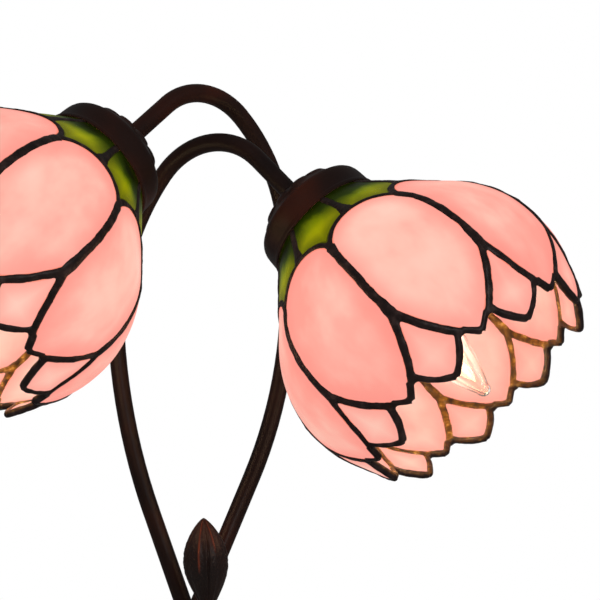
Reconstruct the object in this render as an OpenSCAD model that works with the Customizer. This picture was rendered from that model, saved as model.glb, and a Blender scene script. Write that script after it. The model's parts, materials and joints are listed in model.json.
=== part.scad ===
// Two-light table lamp with leaded-glass lily shades on crossing bent arms.
// Millimetres, +Z up. The origin is the middle of the face the lamp stands on.

/* [Base] */
// Diameter of the cast foot
base_d = 200; // [160:1:240]
// Height of the foot's upright rim
rim_h = 16; // [15:0.5:20]
// Height of the foot where the hub stands on it
base_h = 36; // [32:0.5:46]
// Wall of the cast foot
base_wall = 3; // [2.5:0.1:4]
// Height of the hub's top above the table
hub_top = 84; // [80:0.5:100]
// Radius of the hub at its top
hub_r = 23; // [22.5:0.5:26]
// Radius of the hub's flange
flange_r = 34; // [33:0.5:38]
// Number of raised leaves on the foot
leaves = 8; // [5:1:9]
// Height of the leaves' relief
leaf_h = 1.6; // [1:0.1:2.5]
// Thickness of the felt under the foot
felt_t = 1.5; // [1:0.1:3]
// Thickness of the steel bottom cover
cover_t = 1.5; // [1:0.1:2.5]
// Thickness of the iron weight
weight_t = 9; // [6:0.5:10]
// Radius of the cord inlet in the foot's back
inlet_r = 5; // [4.4:0.1:5.3]

/* [Arm tube] */
// Outer diameter of the arm tube
tube_d = 12; // [11.6:0.1:12.6]
// Wall of the arm tube
tube_wall = 1.2; // [1:0.1:1.3]
// Depth of the tube's seat in the hub
tube_seat = 30; // [20:1:36]
// Distance of each foot from the middle of the hub
foot_y = 6.6; // [6.5:0.1:7.5]
// Diameter of the two-core lead inside the tube
lead_d = 5; // [4:0.1:5.6]

/* [Right arm] */
// Plan direction of the right shade's arm
right_azimuth = -31.5; // [-40:0.1:-25]
// Height at which the arm starts to lean back
right_rise = 112.9; // [105:0.1:120]
// Radius and angle of the bend that leans it back
right_lean_r = 110; // [90:1:130]
right_lean = 23; // [21:0.5:25]
// Straight run of the lean
right_run = 65.4; // [55:0.1:75]
// Radius and angle of the long bow
right_bow_r = 390; // [360:1:420]
right_bow = 17; // [15:0.5:19]
// Radius and angle of the crest
right_crest_r = 160; // [150:1:170]
right_crest = 47.5; // [45:0.5:50]
// Radius and angle of the bend down to the shade
right_drop_r = 51; // [46:0.5:56]
right_drop = 93.8; // [92:0.1:97]
// Straight end that meets the cap
right_end = 40.2; // [34:0.1:44]

/* [Left arm] */
// Plan direction of the left shade's arm
left_azimuth = 214.5; // [207:0.1:222]
// Height at which the arm starts to lean back
left_rise = 130.8; // [120:0.1:140]
// Radius and angle of the bend that leans it back
left_lean_r = 60; // [50:1:80]
left_lean = 27.5; // [26:0.5:29]
// Straight run of the lean
left_run = 92.3; // [85:0.1:100]
// Radius and angle of the long bow
left_bow_r = 290; // [270:1:310]
left_bow = 37; // [35:0.5:39]
// Radius and angle of the crest
left_crest_r = 114; // [108:1:120]
left_crest = 40; // [38:0.5:42]
// Radius and angle of the bend down to the shade
left_drop_r = 45.5; // [42:0.5:50]
left_drop = 82.8; // [80:0.1:85]
// Straight end that meets the cap
left_end = 41.9; // [36:0.1:46]

/* [Shade cap] */
// Outer radius of the cap at its rim
cap_r = 41.5; // [40.5:0.5:44]
// Height of the cap's band
cap_band = 18.5; // [16:0.5:24]
// Height of the cap from its rim to the arm
cap_h = 32.5; // [30:0.5:37]
// How far the cap reaches over the neck of the glass
cap_over = 3; // [2:0.1:3.1]
// Wall of the cap
cap_wall = 1.4; // [1.2:0.1:1.6]
// Radius of the flat where the arm meets the cap
cap_top_r = 10; // [9:0.5:12]
// Number of raised petals on the cap's dome
cap_petals = 12; // [8:1:14]

/* [Shade] */
// Number of large petals round the shade
petals = 9; // [8:1:10]
// Radius of the glass at the cap's rim
neck_r = 34.5; // [33.5:0.1:35.5]
// Slope of the neck from the axis
neck_slope = 38.5; // [37.5:0.1:39.5]
// Length of the neck along the glass
neck_len = 67.5; // [65:0.5:70]
// Radius of the belly's curve
belly_r = 75.5; // [72:0.5:79]
// Slope of the mouth towards the axis
mouth_slope = 24; // [20:0.5:27]
// Thickness of the glass
glass_t = 3; // [2.4:0.1:3.6]
// Width of a solder seam
seam_w = 4; // [3:0.1:4.6]
// How far a seam stands proud of the glass
seam_h = 0.8; // [0.5:0.1:1.2]
// Solder beyond the free edge of a petal
border = 1; // [0.6:0.1:1.6]

/* [Petals] */
// Distance of the arch of a large petal from the cap, to its middle
arch_w = 60.5; // [59.5:0.1:61.5]
// Radius of that arch
arch_r = 27.5; // [27.3:0.1:28.2]
// Distance from the cap of the middle of a large petal's side curve
side_w = 76.3; // [74:0.1:79]
// Radius of that curve
side_r = 90.7; // [88:0.1:94]
// Half width that the curve gives at its middle
side_half = 37.9; // [36.5:0.1:39]
// How much lower the middle of a small petal's side curve lies
small_drop = 45.8; // [44:0.1:48]
// Radius of that curve
small_r = 40; // [37:0.5:43]
// Half width that the curve gives at its middle
small_half = 23; // [22:0.5:24]

/* [Lamp holder] */
// Diameter of the threaded nipple
nipple_d = 9.4; // [9:0.1:9.4]
// Bore of the nipple
nipple_bore = 6.4; // [6:0.1:6.8]
// How far the nipple reaches below the cap's rim
nipple_reach = 22; // [20:0.5:26]
// Outer diameter of the lamp holder
holder_d = 38; // [35:0.5:42]
// Length of the lamp holder
holder_len = 52; // [49:0.5:56]
// Distance of the lamp holder from the cap's rim
holder_w = 14; // [10:0.5:16]
// Diameter of the bulb's screw cap
bulb_cap_d = 26; // [25.5:0.1:26.4]
// Largest diameter of the bulb
bulb_d = 35; // [32:0.5:40]
// Length of the bulb from its contact to its tip
bulb_len = 114; // [108:0.5:120]

/* [Bud] */
// Height of the bud
bud_h = 58; // [54:0.5:62]
// Width of the bud
bud_d = 30; // [24:0.5:34]
// Height of the bud's lower end above the table
bud_z = 156; // [150:0.5:160]
// Diameter of the bud's stem
bud_stem_d = 8; // [6:0.1:9]
// Depth of the stem's seat in the hub
bud_seat = 22; // [16:1:28]

/* [Clearances] */
// Gap of a piece in its seat
fit = 0.1; // [0.05:0.01:0.2]
// Gap between a piece of glass and its seam
foil = 0.08; // [0.05:0.01:0.2]
// Gap between a bulb and its holder
turn_gap = 0.35; // [0.3:0.01:0.45]

/* [Hidden] */
metal = [0.13, 0.08, 0.07];
brass = [0.75, 0.6, 0.3];
solder = [0.16, 0.12, 0.09];
pink = [1, 0.66, 0.62];
green = [0.46, 0.55, 0.05];
step = 360 / petals;
half_step = step / 2;

// A tube's bending table: each row is a straight run [0, length]
// or a bend [radius, angle], where a bend to the shade's side is positive.
right_table = [[0, right_rise - hub_top + tube_seat], [right_lean_r, -right_lean], [0, right_run],
    [right_bow_r, right_bow], [right_crest_r, right_crest], [right_drop_r, right_drop], [0, right_end]];
left_table = [[0, left_rise - hub_top + tube_seat], [left_lean_r, -left_lean], [0, left_run],
    [left_bow_r, left_bow], [left_crest_r, left_crest], [left_drop_r, left_drop], [0, left_end]];

// Carries its children from the start of one row of a bending table to its end.
module onward(row) {
    x = row[0] * (1 - cos(row[1])) * sign(row[1]);
    z = row[0] == 0 ? row[1] : row[0] * sin(abs(row[1]));
    translate([floor(x), 0, floor(z)]) translate([x - floor(x), 0, z - floor(z)])
        rotate([0, row[0] == 0 ? 0 : row[1], 0]) children();
}

// Carries its children to the end of a whole bending table.
module at_end(table, at = 0) {
    if (at < len(table)) onward(table[at]) at_end(table, at + 1) children();
    else children();
}

// Half profile of the glass: radius and slope at a distance w from the cap's rim.
neck_w = neck_len * cos(neck_slope);
belly_w = neck_w + belly_r * sin(neck_slope);
belly_mid = neck_r + neck_len * sin(neck_slope) - belly_r * cos(neck_slope);
mouth_w = belly_w + belly_r * sin(mouth_slope);
function glass_r(w) = w < neck_w ? neck_r + w * tan(neck_slope)
    : w < mouth_w ? belly_mid + sqrt(belly_r * belly_r - (w - belly_w) * (w - belly_w))
    : belly_mid + belly_r * cos(mouth_slope) - (w - mouth_w) * tan(mouth_slope);
neck_z = cap_h - cap_over;
function glass_slope(w) = w < neck_w ? neck_slope : w < mouth_w ? -asin((w - belly_w) / belly_r) : -mouth_slope;

// Point on the glass: angle a round the axis, distance w, height h off its middle surface.
function on_glass(a, w, h) = let (s = glass_slope(w), r = glass_r(w) + h * cos(s))
    [r * cos(a), r * sin(a), w - h * sin(s)];
function angle_of(across, w) = asin(across / glass_r(w));

// Edge of a large petal, d inside its seam line, from its arch to its tip: rows of [angle, w].
seam = seam_w / 2;
line_m = tan(neck_slope) * sin(half_step);
line_gap = (line_m * arch_w + neck_r * sin(half_step)) / sqrt(1 + line_m * line_m);
arch_full = atan2(1, line_m);
side_x = side_r - side_half;
small_w = side_w + small_drop;
small_x = small_r - small_half;
arch_steps = 4;
flank_steps = 4;
side_steps = 4;
tip_steps = 3;

function arch_end(d, gap) = arch_full - acos(min(1, gap / (arch_r - d)));
function arch_point(phi, d) = let (w = arch_w - (arch_r - d) * cos(phi)) [angle_of((arch_r - d) * sin(phi), w), w];
function side_point(psi, d) = let (w = side_w + (side_r - d) * sin(psi))
    [angle_of(max(0, (side_r - d) * cos(psi) - side_x), w), w];
function flank(w, d) = half_step - asin(d / glass_r(w));
function side_angle(w, d) = angle_of(max(0, sqrt(max(0, pow(side_r - d, 2) - pow(w - side_w, 2))) - side_x), w);
function small_angle(w, d) = angle_of(max(0, sqrt(max(0, pow(small_r - d, 2) - pow(w - small_w, 2))) - small_x), w);

// Where one edge meets another: the place between lo and hi where the two angles sum to the target.
function meet_large(d, target, lo, hi, n = 22) = let (mid = (lo + hi) / 2) n == 0 ? mid
    : side_angle(mid, d) > target ? meet_large(d, target, mid, hi, n - 1) : meet_large(d, target, lo, mid, n - 1);
function meet_small(dl, ds, lo, hi, n = 22) = let (mid = (lo + hi) / 2) n == 0 ? mid
    : side_angle(mid, dl) + small_angle(mid, ds) < half_step
        ? meet_small(dl, ds, lo, mid, n - 1) : meet_small(dl, ds, mid, hi, n - 1);
function psi_at(w, d) = asin((w - side_w) / (side_r - d));

function arch_in(d) = arch_end(d, line_gap - d);
function flank_start(d) = arch_w - (arch_r - d) * cos(arch_in(d));
function flank_end(d) = meet_large(d, flank(belly_w, d), side_w, side_w + side_r);
function corner(d) = meet_small(-d, d, side_w, small_tip(d));
function tip_in(d) = acos(side_x / (side_r - d));
function small_tip(d) = small_w + sqrt(pow(small_r - d, 2) - small_x * small_x);
function along(a, b, i, n) = a + (b - a) * i / n;
arch_out = arch_end(-seam, line_gap);
join = meet_small(-border, -border, side_w, small_tip(-border));

// Right half of each glass's edge, d inside its seam lines.
function large_edge(d) = let (w_a = flank_start(d), w_b = flank_end(d),
        p_a = psi_at(w_b, d), p_b = psi_at(corner(d), d), p_c = tip_in(d)) concat(
    [for (i = [0:arch_steps]) arch_point(arch_in(d) * i / arch_steps, d)],
    [for (i = [1:flank_steps]) let (w = along(w_a, w_b, i, flank_steps)) [flank(w, d), w]],
    [for (i = [1:side_steps]) side_point(along(p_a, p_b, i, side_steps), d)],
    [for (i = [1:tip_steps]) side_point(along(p_b, p_c, i, tip_steps), d)]);
function small_edge(d) = let (v = meet_large(-d, half_step, side_w, side_w + side_r), w_c = corner(d),
        p_a = psi_at(v, -d), p_b = psi_at(w_c, -d), t = small_tip(d)) concat(
    [for (i = [0:side_steps]) let (p = side_point(along(p_a, p_b, i, side_steps), -d)) [half_step - p[0], p[1]]],
    [for (i = [1:tip_steps]) let (w = t - (t - w_c) * pow(1 - i / tip_steps, 1.6)) [small_angle(w, d), w]]);
function sepal_edge(d) = let (a = arch_end(-d, line_gap)) concat([[flank(top_w, d), top_w]],
    [for (i = [0:arch_steps]) let (p = arch_point(a * i / arch_steps, -d)) [min(flank(p[1], d), half_step - p[0]), p[1]]]);

top_w = 3.5;
cut = seam + foil;

// A closed sheet between two grids of points. A row whose points agree is drawn as one point.
module sheet(outer, inner) {
    rows = len(outer);
    cols = len(outer[0]);
    function same(i) = norm(outer[i][0] - outer[i][cols - 1]) < 0.02;
    function at(i, j) = i * cols + (same(i) ? 0 : j);
    count = rows * cols;
    function quad(a, b, c, d) = [if (a != b && b != c && a != c) [a, b, c], if (a != c && c != d && a != d) [a, c, d]];
    faces = [for (i = [0:rows - 2], j = [0:cols - 2], f = concat(
            quad(at(i, j), at(i, j + 1), at(i + 1, j + 1), at(i + 1, j)),
            quad(count + at(i, j), count + at(i + 1, j), count + at(i + 1, j + 1), count + at(i, j + 1)))) f];
    sides = [for (i = [0:rows - 2], f = concat(
            quad(at(i, 0), at(i + 1, 0), count + at(i + 1, 0), count + at(i, 0)),
            quad(at(i + 1, cols - 1), at(i, cols - 1), count + at(i, cols - 1), count + at(i + 1, cols - 1)))) f];
    ends = [for (j = [0:cols - 2], f = concat(
            same(0) ? [] : quad(at(0, j + 1), at(0, j), count + at(0, j), count + at(0, j + 1)),
            same(rows - 1) ? [] : quad(at(rows - 1, j), at(rows - 1, j + 1),
                count + at(rows - 1, j + 1), count + at(rows - 1, j)))) f];
    polyhedron(concat([for (r = outer, p = r) p], [for (r = inner, p = r) p]), concat(faces, sides, ends));
}

// A piece of glass from the edge of its right half: rows of [half angle, w].
module pane(edge, cols) {
    function row(e, h) = [for (j = [0:cols]) on_glass(e[0] * (2 * j / cols - 1), e[1], h)];
    sheet([for (e = edge) row(e, glass_t / 2)], [for (e = edge) row(e, -glass_t / 2)]);
}

// Carries its children to where an arm stands in the hub, turned to its side.
module at_foot(azimuth, foot) translate([0, foot, hub_bore_z]) rotate([0, 0, azimuth]) children();

// Carries its children to a shade's axis, with +Z out of the shade and zero at the top of its glass.
module at_shade(azimuth, foot, table) at_foot(azimuth, foot) at_end(table) translate([0, 0, neck_z]) children();

// Sweeps its flat children along a bending table. Every second row is a hair thicker, by $thicker,
// and its neighbours lap into it, so that the rows join into one solid.
lap = 0.5;
hair = 0.05;
module bent(table, at = 0) {
    if (at < len(table)) {
        row = table[at];
        thick = at % 2 == 1;
        back = thick || at == 0 ? 0 : lap;
        on = thick || at == len(table) - 1 ? 0 : lap;
        $thicker = thick ? hair : 0;
        turn = sign(row[1]);
        if (row[0] == 0) translate([0, 0, -back]) linear_extrude(height = row[1] + back + on) children();
        else translate([turn * row[0], 0, 0]) rotate([0, -turn * back / row[0] * 180 / PI, 0])
            rotate([90, 0, turn > 0 ? 180 : 0])
            rotate_extrude(angle = abs(row[1]) + (back + on) / row[0] * 180 / PI, $fn = 128)
            translate([row[0], 0]) children();
        onward(row) bent(table, at + 1) children();
    }
}

module ring(r_out, r_in, h) {
    difference() {
        cylinder(r = r_out, h = h, $fn = 72);
        translate([0, 0, -1]) cylinder(r = r_in, h = h + 2, $fn = 72);
    }
}

// ---- foot ----
hub_bore_z = hub_top - tube_seat;
cover_z = felt_t + cover_t;
base_r = base_d / 2;
screw_r = 2;
hub_screw_at = 25;
hub_hole_r = 18;
boss_at = 62;
boss_r = 6;

// Height of the foot's outer face at a distance r from the middle.
rise_w = base_r - flange_r;
function foot_z(r) = rim_h + (base_h - rim_h) * (1 - pow((r - flange_r) / rise_w, 1.6));

function foot_outline(off) = [for (i = [0:12]) let (r = flange_r + (base_r - 2 - flange_r) * i / 12) [r, foot_z(r) + off]];

module foot_body() {
    difference() {
        rotate_extrude($fn = 96) polygon(concat([[0, base_h]], foot_outline(0),
            [[base_r, rim_h - 2], [base_r, felt_t], [0, felt_t]]));
        rotate_extrude($fn = 96) polygon(concat([[0, base_h - base_wall - 1]],
            [for (p = foot_outline(-base_wall)) [p[0] - 1.5, p[1]]],
            [[base_r - base_wall, rim_h - base_wall - 2], [base_r - base_wall, 0], [0, 0]]));
    }
}

module leaf_outline() {
    span = base_r - flange_r - 14;
    lean = span * 0.75;
    intersection() {
        translate([flange_r + 5 + span / 2, lean - span * 0.3]) circle(r = lean, $fn = 64);
        translate([flange_r + 5 + span / 2, -lean + span * 0.3]) circle(r = lean, $fn = 64);
    }
}

module foot() {
    difference() {
        union() {
            foot_body();
            intersection() {
                rotate_extrude($fn = 96) polygon(concat(foot_outline(leaf_h), [[base_r - 2, rim_h - 4]],
                    [[flange_r, base_h - base_wall]]));
                for (i = [0:leaves - 1]) rotate([0, 0, (i + 0.5) * 360 / leaves])
                    linear_extrude(height = base_h + leaf_h + 1) leaf_outline();
            }
            for (a = [90, 210, 330]) rotate([0, 0, a]) translate([boss_at, 0, cover_z + weight_t])
                cylinder(r = boss_r, h = foot_z(boss_at) - base_wall / 2 - cover_z - weight_t, $fn = 32);
        }
        translate([0, 0, base_h - 10]) cylinder(r = hub_hole_r, h = 20, $fn = 64);
        for (a = [30, 150, 270]) rotate([0, 0, a]) translate([hub_screw_at, 0, base_h - 10])
            cylinder(r = screw_r + fit, h = 20, $fn = 24);
        for (a = [90, 210, 330]) rotate([0, 0, a]) translate([boss_at, 0, cover_z])
            cylinder(r = screw_r, h = weight_t + 8, $fn = 24);
        translate([0, base_r - base_wall - 2, inlet_z]) rotate([-90, 0, 0])
            cylinder(r = inlet_r, h = base_wall + 6, $fn = 32);
    }
}

inlet_lip = 0.9;
inlet_z = felt_t + 0.6 + inlet_r + inlet_lip;
module grommet() {
    translate([0, base_r, inlet_z]) rotate([90, 0, 0]) difference() {
        union() {
            translate([0, 0, -1.5]) cylinder(r = inlet_r + inlet_lip, h = 1.4, $fn = 48);
            translate([0, 0, -0.2]) cylinder(r = inlet_r - fit, h = base_wall + 1, $fn = 48);
        }
        translate([0, 0, -5]) cylinder(r = inlet_r - 1.8, h = 20, $fn = 48);
    }
}

module hub() {
    difference() {
        rotate_extrude($fn = 96) polygon(concat(
            [[0, base_h - base_wall], [hub_hole_r - fit, base_h - base_wall], [hub_hole_r - fit, base_h],
             [flange_r - 1, base_h], [flange_r, base_h + 2]],
            [for (i = [0:8]) let (t = i / 8) [hub_r + (flange_r - 3 - hub_r) * pow(1 - t, 2.2),
                base_h + 4 + (hub_top - base_h - 8) * t]],
            [[hub_r + 1.5, hub_top - 3], [hub_r + 1.5, hub_top - 1.5], [hub_r, hub_top], [0, hub_top]]));
        for (s = [-1, 1]) translate([0, s * foot_y, 0]) {
            translate([0, 0, hub_bore_z]) cylinder(r = tube_d / 2 + fit, h = tube_seat + 1, $fn = 48);
            translate([0, 0, base_h - base_wall - 1]) cylinder(r = lead_d / 2 + 0.4, h = hub_top, $fn = 32);
        }
        translate(bud_foot) rotate(lean(bud_foot, bud_low)) cylinder(r = bud_stem_d / 2 + fit, h = bud_seat + tube_seat, $fn = 32);
        for (a = [30, 150, 270]) rotate([0, 0, a]) translate([hub_screw_at, 0, base_h - 1])
            cylinder(r = screw_r, h = 5, $fn = 24);
    }
}

module weight() {
    translate([0, 0, cover_z]) difference() {
        ring(base_r - 16, 34, weight_t);
        for (a = [90, 210, 330]) rotate([0, 0, a]) translate([boss_at, 0, -1])
            cylinder(r = screw_r + 0.4, h = weight_t + 2, $fn = 24);
    }
}

module bottom_cover() {
    translate([0, 0, felt_t]) difference() {
        cylinder(r = base_r - base_wall - fit, h = cover_t, $fn = 96);
        for (a = [90, 210, 330]) rotate([0, 0, a]) translate([boss_at, 0, -1])
            cylinder(r = screw_r + 0.4, h = cover_t + 2, $fn = 24);
    }
}

module felt() {
    difference() {
        cylinder(r = base_r - 1, h = felt_t, $fn = 96);
        for (a = [90, 210, 330]) rotate([0, 0, a]) translate([boss_at, 0, -1])
            cylinder(r = 2 * screw_r + 0.6, h = felt_t + 2, $fn = 24);
    }
}

module base_screws() {
    for (a = [90, 210, 330]) rotate([0, 0, a]) translate([boss_at, 0, 0]) {
        translate([0, 0, 0.3]) cylinder(r = 2 * screw_r, h = felt_t - 0.3, $fn = 32);
        translate([0, 0, felt_t]) cylinder(r = screw_r, h = cover_t + weight_t + 7, $fn = 24);
    }
    for (a = [30, 150, 270]) rotate([0, 0, a]) translate([hub_screw_at, 0, base_h]) {
        translate([0, 0, -base_wall - 4]) cylinder(r = 2 * screw_r, h = 3, $fn = 32);
        translate([0, 0, -base_wall - 1]) cylinder(r = screw_r, h = base_wall + 4.5, $fn = 24);
    }
}

lead_foot = cover_z + 17;
module wire_connectors() {
    for (s = [-1, 1]) translate([0, s * foot_y, cover_z + 0.2])
        cylinder(r1 = 3.4, r2 = 5.2, h = lead_foot - cover_z - 0.2, $fn = 32);
}

// ---- bud ----
bud_foot = [4, -foot_y - tube_d / 2 - bud_stem_d / 2, hub_top - bud_seat];
bud_low = [10.2, bud_foot[1] - 4.4, bud_z];
bud_tip = [7.3, bud_foot[1] - 5.9, bud_z + bud_h];

// Turns that carry +Z to the way from one point to another.
function lean(from, to) = let (way = to - from) [asin(-way[1] / norm(way)), atan2(way[0], way[2]), 0];

module bud_stem() {
    difference() {
        translate(bud_foot) rotate(lean(bud_foot, bud_low))
            cylinder(r = bud_stem_d / 2, h = norm(bud_low - bud_foot) + 1, $fn = 32);
        translate(bud_low) rotate(lean(bud_low, bud_tip)) cylinder(r = bud_stem_d, h = 5, $fn = 32);
    }
}

// The bud: an ogive, fullest at its middle, with a raised rib along each petal's edge.
bud_rows = 12;
bud_ribs = 8;
bud_cols = 5 * bud_ribs;
bud_turn = -107;
rib_h = 0.7;
function bud_profile(t) = bud_d / 2 * pow(sin(180 * t), 0.74) + bud_stem_d / 2 * pow(1 - t, 6);
function bud_rib(j, t) = rib_h * sin(180 * t) * (j % 5 == 0 ? 1 : -0.4);
module bud() {
    pts = concat([[0, 0, 0]], [for (i = [0:bud_rows - 1], j = [0:bud_cols - 1])
        let (t = i / bud_rows, a = bud_turn + 360 * j / bud_cols, r = bud_profile(t) + bud_rib(j, t))
        [r * cos(a), r * sin(a), bud_h * t]], [[0, 0, bud_h]]);
    tip = len(pts) - 1;
    function at(i, j) = 1 + i * bud_cols + j % bud_cols;
    faces = concat(
        [for (j = [0:bud_cols - 1]) [0, at(0, j), at(0, j + 1)]],
        [for (i = [0:bud_rows - 2], j = [0:bud_cols - 1], f = [
            [at(i, j), at(i + 1, j), at(i + 1, j + 1)], [at(i, j), at(i + 1, j + 1), at(i, j + 1)]]) f],
        [for (j = [0:bud_cols - 1]) [at(bud_rows - 1, j), tip, at(bud_rows - 1, j + 1)]]);
    translate(bud_low) rotate(lean(bud_low, bud_tip)) polyhedron(pts, faces);
}

// ---- arms ----
module arm(azimuth, foot, table) {
    at_foot(azimuth, foot) bent(table) difference() {
        circle(r = tube_d / 2 + $thicker, $fn = 48);
        circle(r = tube_d / 2 - tube_wall - $thicker, $fn = 48);
    }
}

// The lead runs on past both ends of its arm.
module lead_wire(azimuth, foot, table) {
    below = hub_bore_z - lead_foot;
    last = len(table) - 1;
    long_table = [for (i = [0:last]) i == 0 ? [0, table[0][1] + below]
        : i == last ? [0, table[last][1] + neck_z + nipple_reach] : table[i]];
    at_foot(azimuth, foot) translate([0, 0, -below]) bent(long_table) circle(r = lead_d / 2 + $thicker, $fn = 32);
}

// ---- what hangs on an arm's end, along the shade's axis ----
cap_flare = 1.5;
cap_lip = 0.8;
cap_round = 4;
cap_petal_r = 3.2;
module cap_profile(off, low) {
    shoulder = cap_r - cap_flare - off;
    dome = cap_h - cap_band;
    polygon([[0, low], [cap_r - off, low], [cap_r - off, -1.5], [cap_r - cap_lip - off, -2.5],
        [shoulder, -cap_band + cap_round], [shoulder - 0.3 * cap_round, -cap_band + 0.3 * cap_round],
        [shoulder - cap_round, -cap_band - 0.15 * cap_round + off], [(shoulder + cap_top_r) / 2, -cap_band - 0.7 * dome + off],
        [cap_top_r + 0.2 * dome, -cap_h + 0.06 * dome + off], [cap_top_r, -cap_h + off], [0, -cap_h + off]]);
}

module cap() translate([0, 0, cap_over]) {
    run = (cap_r - cap_flare + cap_top_r) / 2 - cap_top_r;
    drop = 0.3 * (cap_h - cap_band);
    difference() {
        union() {
            rotate_extrude($fn = 96) cap_profile(0, 0);
            for (i = [0:cap_petals - 1]) rotate([0, 0, i * 360 / cap_petals])
                translate([cap_top_r, 0, -cap_h + cap_wall]) rotate([0, 90 - atan(drop / run), 0]) {
                    cylinder(r1 = cap_petal_r / 2, r2 = cap_petal_r, h = run, $fn = 32);
                    translate([0, 0, run]) sphere(r = cap_petal_r, $fn = 32);
                }
        }
        rotate_extrude($fn = 96) cap_profile(cap_wall, 1);
        translate([0, 0, -cap_h - 1]) cylinder(r = nipple_d / 2 + fit, h = cap_h, $fn = 48);
    }
}

nipple_up = 14;
module nipple() {
    translate([0, 0, -neck_z - nipple_up]) ring(nipple_d / 2, nipple_bore / 2, neck_z + nipple_up + nipple_reach);
}

nut_h = 4;
nut_af = 14;
module nut() {
    difference() {
        cylinder(r = nut_af / 2 / cos(30), h = nut_h, $fn = 6);
        translate([0, 0, -1]) cylinder(r = nipple_d / 2 + fit, h = nut_h + 2, $fn = 48);
    }
}

module lock_nuts() {
    translate([0, 0, -neck_z + cap_wall]) nut();
    nut();
}

ring_t = 1.2;
ring_r = cap_r - cap_wall - cap_flare - 0.8;
module shade_ring() {
    difference() {
        translate([0, 0, -ring_t]) cylinder(r = ring_r, h = ring_t, $fn = 96);
        translate([0, 0, -5]) cylinder(r = nipple_d / 2 + fit, h = 10, $fn = 48);
        for (i = [0:5]) rotate([0, 0, i * 60 + 30]) translate([20, 0, -5]) cylinder(r = 4, h = 10, $fn = 32);
    }
}

// Lamp holder, from its closed end at the nipple to its open mouth.
shell_t = 0.4;
shell_r = bulb_cap_d / 2 + turn_gap + shell_t;
holder_end = holder_w + holder_len;
bulb_cap_len = 24;
contact_t = 1;
contact_z = holder_end - bulb_cap_len - contact_t - turn_gap;
module holder() {
    translate([0, 0, holder_w]) difference() {
        rotate_extrude($fn = 72) polygon([[0, 0], [holder_d / 2 - 8, 0], [holder_d / 2 - 1.5, 9], [holder_d / 2, 12],
            [holder_d / 2, holder_len - 1], [holder_d / 2 - 1, holder_len], [0, holder_len]]);
        translate([0, 0, contact_z - holder_w]) cylinder(r = shell_r + fit, h = holder_len, $fn = 72);
        translate([0, 0, -1]) cylinder(r = nipple_d / 2 + fit, h = nipple_reach - holder_w + 1, $fn = 48);
        translate([0, 0, -1]) cylinder(r = lead_d / 2, h = nipple_reach - holder_w + 1.01, $fn = 48);
    }
}

module screw_shell() {
    translate([0, 0, contact_z + contact_t + 2]) ring(shell_r, shell_r - shell_t, holder_end - contact_z - contact_t - 3);
}

module centre_contact() {
    translate([0, 0, contact_z]) cylinder(r = 5, h = contact_t, $fn = 32);
}

// ---- bulb ----
bulb_z = contact_z + contact_t + turn_gap;
bulb_neck = bulb_z + bulb_cap_len;
bulb_tip = bulb_z + bulb_len;
module bulb_cap() {
    translate([0, 0, bulb_z]) difference() {
        rotate_extrude($fn = 72) polygon([[0, 0], [4.5, 0], [5.5, 1.2], [9.5, 2.4], [bulb_cap_d / 2, 5],
            [bulb_cap_d / 2, bulb_cap_len], [0, bulb_cap_len]]);
        translate([0, 0, bulb_cap_len - 3]) cylinder(r = bulb_cap_d / 2 - 0.6, h = 4, $fn = 72);
    }
}

// Outline of the bulb's glass: neck, swelling and a blunt point. Rows of [radius, w].
bulb_steps = 8;
bulb_swell = bulb_neck + 34;
bulb_shoulder = bulb_tip - 30;
neck_radius = bulb_cap_d / 2 - 0.8;
function bulb_outline(in) = concat(
    [[neck_radius - in, bulb_neck - 2.8]],
    [for (i = [0:bulb_steps]) let (t = i / bulb_steps) [neck_radius - 1 - in
        + (bulb_d / 2 - neck_radius + 1) * (1 - cos(180 * t)) / 2, bulb_neck + (bulb_swell - bulb_neck) * t]],
    [for (i = [1:bulb_steps]) let (t = i / bulb_steps) [bulb_d / 2 - in
        - (bulb_d / 2 - bulb_d * 0.36) * t * t, bulb_swell + (bulb_shoulder - bulb_swell) * t]],
    [for (i = [1:4]) let (t = i / 4) [bulb_d * 0.36 - in - (bulb_d * 0.36 - 4) * t, bulb_shoulder + (bulb_tip - 5 - bulb_shoulder) * t]],
    [[2.4 - in * 0.6, bulb_tip - 1.4 - in], [0, bulb_tip - in]]);

module bulb() {
    difference() {
        rotate_extrude($fn = 72) polygon(concat([[0, bulb_neck - 2.8]], bulb_outline(0)));
        rotate_extrude($fn = 72) polygon(concat([[0, bulb_neck - 4]], [[neck_radius - 0.8, bulb_neck - 4]], bulb_outline(0.8)));
    }
}

module filament() {
    stem_top = bulb_neck + 22;
    translate([0, 0, bulb_neck - 3]) cylinder(r1 = 8, r2 = 3, h = 14, $fn = 32);
    translate([0, 0, bulb_neck + 10]) cylinder(r = 2, h = stem_top - bulb_neck - 10, $fn = 24);
    for (s = [-1, 1]) {
        translate([s * 1.2, 0, stem_top - 1]) rotate([0, s * 14, 0]) cylinder(r = 0.5, h = 31, $fn = 16);
        translate([0, 0, bulb_neck + 51]) rotate([0, s * 90, 0]) cylinder(r = 0.8, h = 9, $fn = 16);
    }
}

// ---- shade ----
module large_petal(i) rotate([0, 0, i * step]) pane(large_edge(cut), 3);
module small_petals() for (i = [0:petals - 1]) rotate([0, 0, (i + 0.5) * step]) pane(small_edge(cut), 2);
module sepals() for (i = [0:petals - 1]) rotate([0, 0, (i + 0.5) * step]) pane(sepal_edge(cut), 3);

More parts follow.
